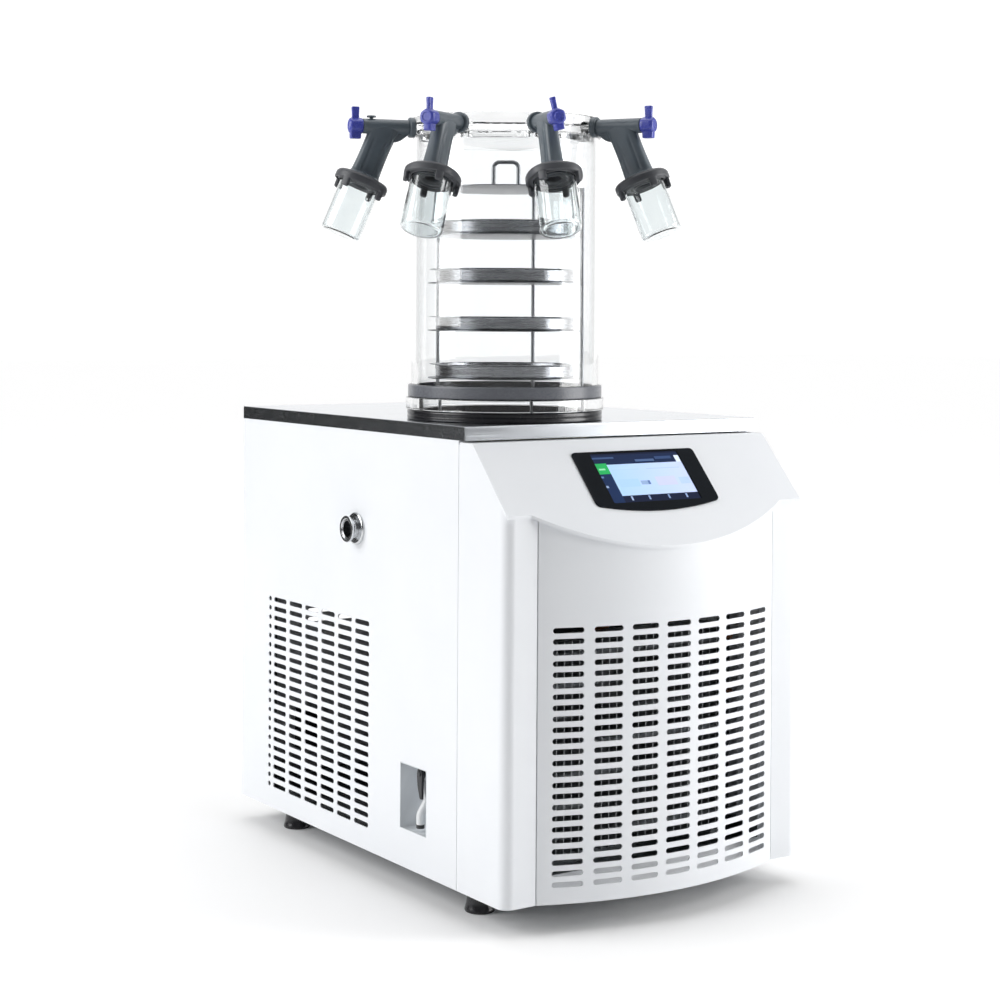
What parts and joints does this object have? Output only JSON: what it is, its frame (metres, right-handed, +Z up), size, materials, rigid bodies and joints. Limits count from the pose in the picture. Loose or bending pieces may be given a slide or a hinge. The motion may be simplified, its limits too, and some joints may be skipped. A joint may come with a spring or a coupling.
{
  "type": "laboratory freeze dryer",
  "caption": "Floor-standing laboratory freeze dryer: clear drying chamber with shelf rack and flask valve arms on a stainless deck, bowed slotted front, sloping touch panel.",
  "frame": {"origin": "on the floor, at the middle of the cabinet's width and of its side depth", "axes": "+X to the machine's right, +Y to its back, +Z up"},
  "size_m": [0.6298, 0.8342, 1.1415],
  "materials": {
    "cabinet_paint": "powder coat, satin",
    "zinc_plated_steel": "plain zinc plate",
    "deck_stainless": "fine brushed",
    "black_rubber": "matt",
    "grey_silicone": "matt",
    "clear_acrylic": "polished, clear",
    "polished_stainless": "polished",
    "dark_plastic": "moulded, satin",
    "blue_plastic": "moulded, gloss",
    "flask_glass": "clear",
    "copper": "drawn tube",
    "foam": "closed-cell foam",
    "compressor_black": "gloss black",
    "aluminium": "plain",
    "motor_grey": "satin",
    "bezel_black": "gloss",
    "display_glass": "glass over a lit screen",
    "black_plastic": "moulded",
    "grey_plastic": "moulded"
  },
  "bodies": {
    "cabinet": {"base_pan": "zinc_plated_steel", "rubber_feet": "black_rubber", "chassis_frame": "zinc_plated_steel", "left_side_panel": "cabinet_paint", "right_side_panel": "cabinet_paint", "rear_panel": "cabinet_paint", "top_plate": "deck_stainless", "front_frame": "cabinet_paint", "front_grille": "cabinet_paint", "control_panel": "cabinet_paint", "display_bezel": "bezel_black", "touch_display": "display_glass", "trap_gasket": "black_rubber", "chamber_base_ring": "clear_acrylic", "chamber_gasket": "grey_silicone", "drying_chamber": "clear_acrylic", "manifold_lid": "clear_acrylic", "tray_rack": "polished_stainless", "arm_collars": "dark_plastic", "cold_trap": "polished_stainless", "evaporator_coil": "copper", "trap_insulation": "foam", "vacuum_pipe": "polished_stainless", "vacuum_port": "polished_stainless", "drain_recess_box": "grey_plastic", "drain_valve_body": "grey_plastic", "drain_tube": "grey_silicone", "compressor": "compressor_black", "compressor_grommets": "black_rubber", "condenser": "aluminium", "fan_shroud": "zinc_plated_steel", "fan_motor": "motor_grey", "suction_line": "copper", "discharge_line": "copper", "liquid_line": "copper", "electrical_box": "zinc_plated_steel", "power_inlet": "black_plastic", "tray_1": "polished_stainless", "valve_body_1": "dark_plastic", "flask_cap_1": "black_rubber", "flask_1": "flask_glass", "tray_2": "polished_stainless", "valve_body_2": "dark_plastic", "flask_cap_2": "black_rubber", "flask_2": "flask_glass", "tray_3": "polished_stainless", "valve_body_3": "dark_plastic", "flask_cap_3": "black_rubber", "flask_3": "flask_glass", "tray_4": "polished_stainless", "valve_body_4": "dark_plastic", "flask_cap_4": "black_rubber", "flask_4": "flask_glass"},
    "knob_1": {"valve_knob_1": "blue_plastic"},
    "knob_2": {"valve_knob_2": "blue_plastic"},
    "knob_3": {"valve_knob_3": "blue_plastic"},
    "knob_4": {"valve_knob_4": "blue_plastic"},
    "drain_lever": {"drain_valve_lever": "black_plastic"},
    "rocker": {"power_switch": "black_plastic"},
    "impeller": {"fan_impeller": "black_plastic"}
  },
  "joints": [
    {"name": "knob_1_turn", "type": "hinge", "parent": "cabinet", "child": "knob_1", "pos_m": [-0.31849, -0.07339, 1.1135], "axis": [-0.9588, 0.284, 0], "range_deg": [-90, 90]},
    {"name": "knob_2_turn", "type": "hinge", "parent": "cabinet", "child": "knob_2", "pos_m": [-0.30001, -0.24922, 1.1135], "axis": [-0.8788, -0.4772, 0], "range_deg": [-90, 90]},
    {"name": "knob_3_turn", "type": "hinge", "parent": "cabinet", "child": "knob_3", "pos_m": [-0.16261, -0.36049, 1.1135], "axis": [-0.284, -0.9588, 0], "range_deg": [-104, 76]},
    {"name": "knob_4_turn", "type": "hinge", "parent": "cabinet", "child": "knob_4", "pos_m": [0.01322, -0.34201, 1.1135], "axis": [0.4772, -0.8788, 0], "range_deg": [-90, 90]},
    {"name": "drain_lever_turn", "type": "hinge", "parent": "cabinet", "child": "drain_lever", "pos_m": [-0.2539, -0.163, 0.18], "axis": [1, 0, 0], "range_deg": [0, 90]},
    {"name": "rocker_tip", "type": "hinge", "parent": "cabinet", "child": "rocker", "pos_m": [-0.15, 0.39, 0.157], "axis": [1, 0, 0], "range_deg": [-20, 0]},
    {"name": "fan_spin", "type": "hinge", "parent": "cabinet", "child": "impeller", "pos_m": [0, -0.285, 0.232], "axis": [0, 1, 0], "continuous": true}
  ]
}
